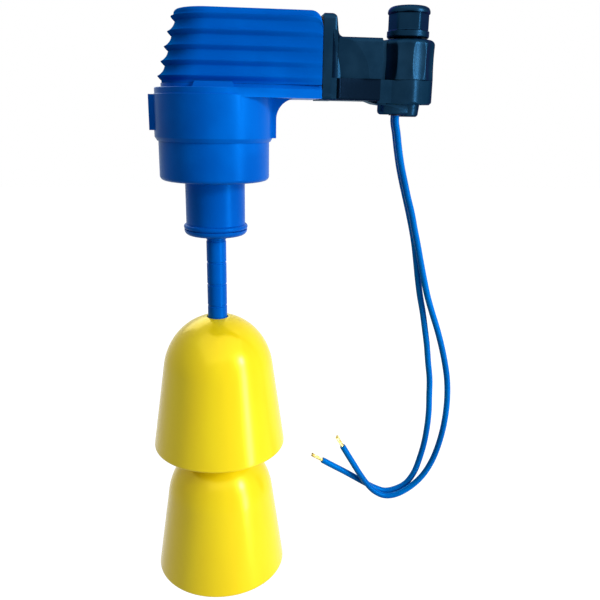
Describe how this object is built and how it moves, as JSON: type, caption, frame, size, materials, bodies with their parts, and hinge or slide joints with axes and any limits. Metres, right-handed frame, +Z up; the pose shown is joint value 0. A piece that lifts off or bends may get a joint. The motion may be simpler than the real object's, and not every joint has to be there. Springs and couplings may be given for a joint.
{
  "type": "float switch",
  "caption": "Rod-type float switch for a tank lid: ribbed blue head on a round spigot, bell floats on a lifting rod, plug-in connector with a cap nut and loose leads.",
  "frame": {"origin": "on the rod's axis, at the collar's underside, which seats on the tank's lid", "axes": "+Z up along the rod, +X along the arm towards the connector, floats below the origin"},
  "size_m": [0.1453, 0.062, 0.2716],
  "materials": {
    "blue_plastic": "moulded, satin",
    "yellow_plastic": "moulded, glossy",
    "black_plastic": "glass-filled, satin",
    "red_plastic": "moulded",
    "steel": "stainless",
    "magnet": "nickel-plated",
    "brass": "tinned contact",
    "rubber": "moulded",
    "lead_insulation": "satin",
    "strands": "bare strands"
  },
  "bodies": {
    "housing": {"base_body": "blue_plastic", "guide_bush": "blue_plastic", "cover_seal": "rubber", "ribbed_cover": "blue_plastic", "cover_screws": "steel", "switch_bracket": "steel", "bracket_screw": "steel", "switch_body": "black_plastic", "switch_terminals": "brass", "switch_screws": "steel", "switch_plunger": "red_plastic", "lever_pin": "steel", "flange_seal": "rubber", "socket_flange": "black_plastic", "flange_screws": "steel", "contact_blades": "brass", "plug_seal": "rubber", "plug_upper_shell": "black_plastic", "plug_lower_shell": "black_plastic", "shell_screws": "steel", "contact_block": "black_plastic", "gland_column": "black_plastic", "gland_foot": "black_plastic", "gland_ring": "rubber", "thrust_washer": "steel", "blanking_plug": "black_plastic", "cap_nut": "black_plastic", "lead_grommet": "rubber", "lead_a": "lead_insulation", "lead_b": "lead_insulation", "lead_a_strands": "strands", "lead_b_strands": "strands"},
    "lift_rod": {"rod": "blue_plastic", "magnet_holder": "black_plastic", "rod_magnet": "magnet", "holder_pin": "steel", "end_washer": "steel", "end_nut": "blue_plastic"},
    "lower_float": {"lower_float": "yellow_plastic", "lower_float_base": "yellow_plastic", "lower_grip_ring": "rubber"},
    "upper_float": {"upper_float": "yellow_plastic", "upper_float_base": "yellow_plastic", "upper_grip_ring": "rubber"},
    "lever": {"switch_lever": "steel", "lever_magnet": "magnet"}
  },
  "joints": [
    {"name": "rod_lift", "type": "slide", "parent": "housing", "child": "lift_rod", "axis": [0, 0, 1], "range_m": [0, 0.008]},
    {"name": "lower_float_adjust", "type": "slide", "parent": "lift_rod", "child": "lower_float", "axis": [0, 0, 1], "range_m": [0, 0.01]},
    {"name": "upper_float_adjust", "type": "slide", "parent": "lower_float", "child": "upper_float", "axis": [0, 0, 1], "range_m": [0, 0.015]},
    {"name": "switch_lever", "type": "hinge", "parent": "housing", "child": "lever", "pos_m": [0.033, 0, 0.0235], "axis": [0, 1, 0], "range_deg": [0, 4]}
  ],
  "couplings": [
    {"joint": "switch_lever", "follows": "rod_lift", "rad_per_m": 8.72}
  ]
}
